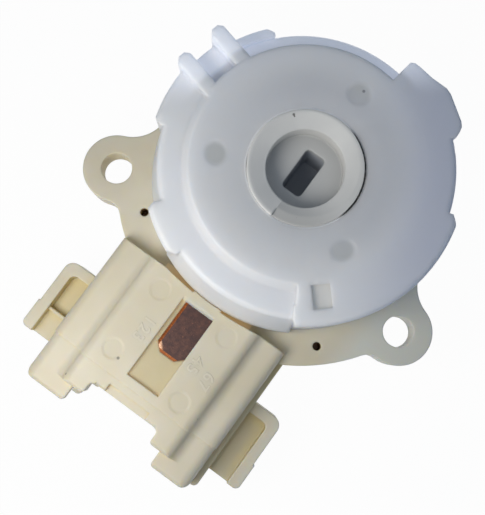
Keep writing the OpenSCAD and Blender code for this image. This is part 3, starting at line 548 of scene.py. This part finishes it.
# Painted shade: the slot goes blue-grey with depth below the socket floor.
slot = (1 - z.soft(SOCKET_FLOOR - SLOT_FADE, SOCKET_FLOOR)) * (away < SLOT_R)
tone = slot.mix(tone, HUB_SLOT_SHADE)
# Painted shade: the socket floor is greyer.
socket_shade = (1 - away.soft(*SOCKET_SHADE_EDGE)) * (1 - z.soft(*SOCKET_SHADE_FADE))
tone = (socket_shade * 0.6).mix(tone, HUB_SOCKET_SHADE)
tone = (pits(place, HUB_PITS) * 0.85).mix(tone, HUB_PIT)
# Painted shade: the gap to the bore is near black on the side towards the lug.
tone = (gap_shade * (z > RING_LOW)).mix(tone, GAP_SHADE)
wire.feed(shader.inputs["Base Color"], tone)
satin(shader, place, *HUB_SATIN)
fall = wire.maths("MAXIMUM", away, RING_IN_R) * RING_FALL
slope = {"Strength": 1.0, "Distance": 1.0, "Height": fall, "Normal": moulded_normal(place, *HUB_EDGES)}
wire.feed(shader.inputs["Normal"], wire.node("Bump", None, slope))
# Painted light: on the gap's other side the hub's outer wall glows.
rim_glow = (away > RIM_R) * gap_lit * (z > SOCKET_FLOOR)
wire.feed(shader.inputs["Emission Color"], rim_glow.mix(BLACK, HUB_GAP_GLOW))
shader.inputs["Emission Strength"].default_value = 1.0
dress(hub, "rotor")


# Cover
# Milky, slightly see-through thermoplastic, moulded in one piece and snapped on the base by three hooks.
# Thin edges look bluish, and the light goes a little way into the wall. Painted shade makes its hollows
# bluish and darkens the dimples, the far side, the dish and the bore's gap towards the lug; painted light
# makes the ledge and the gap's other side glow.
MILK = (0.818, 0.828, 0.860)
MILK_WARM = (0.834, 0.838, 0.848)
MILK_HOLLOW_SHADE = (0.720, 0.755, 0.835)
MILK_DIMPLE_SHADE = (0.640, 0.650, 0.645)
MILK_FAR_SHADE = (0.640, 0.665, 0.775)
MILK_DISH_SHADE = (0.610, 0.622, 0.655)
MILK_POCKET = (0.785, 0.782, 0.765)
MILK_PIT = (0.20, 0.20, 0.22)
MILK_LEDGE_GLOW = (0.52, 0.56, 0.67)
MILK_GAP_GLOW = (0.27, 0.28, 0.30)
MILK_PITS = ((0.30, 13.60, 25.46, 0.28),)
MILK_CLOUD = 11 * MM
MILK_SATIN = (2.5 * MM, 3.0, 0.14, 0.34)
MILK_EDGES = (0.7 * MM, 0.5 * MM, 0.004 * MM)
MILK_REACH = 4 * MM
DIMPLES = (90, 208, 329)
DIMPLE_AT = Vector((12.9, 0, 25.3)) * MM
DIMPLE_EDGE = (1.0 * MM, 2.1 * MM)
FAR_TO = (0.866, 0.5, 0)
FAR_FADE = (6 * MM, 19 * MM)
DISH_TO = (0.454, 0.891, 0)
DISH_FADE = (-11 * MM, 7 * MM)
DISH_EDGE = (11 * MM, 16 * MM)
POCKET_AT = Vector((12.5, -13.55, 25.5)) * MM
POCKET_EDGE = (2.2 * MM, 3.0 * MM)
POCKET_DEPTH = (25.4 * MM, 26 * MM)
LEDGE_TO = (-0.62, 0.785, 0)
LEDGE_FADE = (9 * MM, 15 * MM)
LEDGE_EDGE = (18.6 * MM, 19.8 * MM)
BORE_EDGE = (HUB_R + 0.20 * MM, HUB_R + 0.35 * MM)
STRAIGHT_UP = (0, 0, 1)
milk, shader, wire, place = new_finish("milky_moulding")
gap_shade, away, gap_lit = hub_gap(place, HUB_R - 0.3 * MM, HUB_R + 0.16 * MM)
tone = place.noise(MILK_CLOUD, 2.0).soft(0.3, 0.75).mix(MILK, MILK_WARM)
# Painted shade: hollows go bluish.
tone = (1 - openness(wire, MILK_REACH).soft(0.0, 0.65)).mix(tone, MILK_HOLLOW_SHADE)
# Painted shade: the ejector dimples are darker grey discs.
for angle in DIMPLES:
    dimple = Matrix.Rotation(math.radians(angle), 3, "Z") @ DIMPLE_AT
    tone = (1 - away_from(place, dimple).soft(*DIMPLE_EDGE)).mix(tone, MILK_DIMPLE_SHADE)
# Painted shade: the cover darkens towards its far side, away from the lamp.
tone = (reach_to(place, FAR_TO).soft(*FAR_FADE) * 0.75).mix(tone, MILK_FAR_SHADE)
# Painted shade: the dish darkens around the hub, most on the side away from the lamp.
dish = (1 - away.soft(*DISH_EDGE)) * reach_to(place, DISH_TO).soft(*DISH_FADE)
tone = (dish * 0.85).mix(tone, MILK_DISH_SHADE)
tone = (pits(place, MILK_PITS) * 0.8).mix(tone, MILK_PIT)
pocket = 1 - away_from(place, POCKET_AT).soft(*POCKET_EDGE)
sunk = 1 - wire.node("SeparateXYZ", None, {0: place}, 2).soft(*POCKET_DEPTH)
tone = (pocket * sunk).mix(tone, MILK_POCKET)
# Painted shade: the bore's gap is near black on the side towards the lug.
wire.feed(shader.inputs["Base Color"], gap_shade.mix(tone, GAP_SHADE))
# Painted light: an emission makes the shaded ledge and, on the gap's other side, the bore's wall glow.
ledge_glow = away.soft(*LEDGE_EDGE) * reach_to(place, LEDGE_TO).soft(*LEDGE_FADE)
bore = (1 - away.soft(*BORE_EDGE)) * gap_lit
wire.feed(shader.inputs["Emission Color"], bore.mix(ledge_glow.mix(BLACK, MILK_LEDGE_GLOW), MILK_GAP_GLOW))
shader.inputs["Emission Strength"].default_value = 0.38
satin(shader, place, *MILK_SATIN)
rounded = moulded_normal(place, *MILK_EDGES)
rounded = wire.node("Mix", {"data_type": "VECTOR"}, {0: pocket, 4: rounded, 5: STRAIGHT_UP}, 1)
wire.feed(shader.inputs["Normal"], rounded)
shader.inputs["Subsurface Weight"].default_value = 1.0
shader.inputs["Subsurface Radius"].default_value = (0.85, 0.92, 1.0)
shader.inputs["Subsurface Scale"].default_value = 3.0 * MM
dress(milk, "cover")


# Studio
# A pale floor under the switch, one soft lamp near the plug side and a weak cool fill from all round.
# The camera stands over the cover, at the photograph's angle.
def seen_by(wire, *rays):
    """1 for light paths of one of these kinds, and 0 for all others."""
    seen = wire.node("LightPath", None, None, rays[0])
    for ray in rays[1:]:
        seen = wire.maths("MAXIMUM", seen, wire.node("LightPath", None, None, ray))
    return seen


WHITE = (1.0, 1.0, 1.0)
PAPER = (0.92, 0.92, 0.92)
PAPER_SHADE = (0.90, 0.90, 0.90)
PAPER_CLOUD = 0.2
FLOOR_HALF = 3.0
FLOOR_Z = -0.1 * MM
FLOOR_GLOW = 0.97
bed = bmesh.new()
bmesh.ops.create_grid(bed, x_segments=1, y_segments=1, size=FLOOR_HALF)
bmesh.ops.translate(bed, verts=bed.verts, vec=(0, 0, FLOOR_Z))
floor_mesh = bpy.data.meshes.new("floor")
bed.to_mesh(floor_mesh)
bed.free()
floor = bpy.data.objects.new("floor", floor_mesh)
bpy.context.scene.collection.objects.link(floor)
paper, shader, wire, place = new_finish("floor_paper")
wire.feed(shader.inputs["Base Color"], place.noise(PAPER_CLOUD).mix(PAPER, PAPER_SHADE))
shader.inputs["Roughness"].default_value = 0.9
shader.inputs["Specular IOR Level"].default_value = 0.1
seen = seen_by(wire, "Is Camera Ray", "Is Glossy Ray", "Is Transmission Ray")
glow = wire.node("Emission", None, {"Color": WHITE, "Strength": 1.0})
plain = Wire(paper.node_tree, shader.outputs[0])
lit = wire.node("MixShader", None, {0: seen * FLOOR_GLOW, 1: plain, 2: glow})
wire.feed(paper.node_tree.nodes["Material Output"].inputs["Surface"], lit)
floor.data.materials.append(paper)

FILL = (0.64, 0.79, 1.0)
FILL_STRENGTH = 0.25
world = bpy.data.worlds.new("studio")
bpy.context.scene.world = world
world.use_nodes = True
sky = Wire(world.node_tree)
seen = seen_by(sky, "Is Camera Ray", "Is Glossy Ray")
backdrop = world.node_tree.nodes["Background"]
sky.feed(backdrop.inputs["Color"], seen.mix(FILL, WHITE))
sky.feed(backdrop.inputs["Strength"], seen * (1 - FILL_STRENGTH) + FILL_STRENGTH)

LAMP_PLACE = Vector((-0.019, -0.058, 0.074))
LAMP_TARGET = Vector((0, -0.012, 0.015))
lamp = bpy.data.lights.new("plug_side", "AREA")
lamp.shape = "DISK"
lamp.size = 0.05
lamp.energy = 0.0370
lamp.color = (1.0, 0.97, 0.91)
holder = bpy.data.objects.new("plug_side", lamp)
bpy.context.scene.collection.objects.link(holder)
aim = (LAMP_TARGET - LAMP_PLACE).to_track_quat("-Z", "Y")
holder.matrix_world = Matrix.LocRotScale(LAMP_PLACE, aim, None)

IMAGE_H = 515
FOCAL_PX = 848.43
SENSOR = 36.0
TILT = Matrix.Rotation(-0.103, 3, "X")
LEAN = Matrix.Rotation(0.013, 3, "Y")
SPIN = Matrix.Rotation(math.radians(-36), 3, "Z")
OFFSET = Vector((8.68, 10.254, -144.725)) * MM
lens = bpy.data.cameras.new("camera")
lens.sensor_fit = "VERTICAL"
lens.sensor_height = SENSOR
lens.lens = FOCAL_PX * SENSOR / IMAGE_H
lens.clip_start = 0.005
lens.clip_end = 20
camera = bpy.data.objects.new("camera", lens)
bpy.context.scene.collection.objects.link(camera)
turn = (TILT @ LEAN @ SPIN).transposed()
camera.matrix_world = Matrix.Translation(-(turn @ OFFSET)) @ turn.to_4x4()
bpy.context.scene.camera = camera
bpy.context.scene.view_settings.view_transform = "Standard"
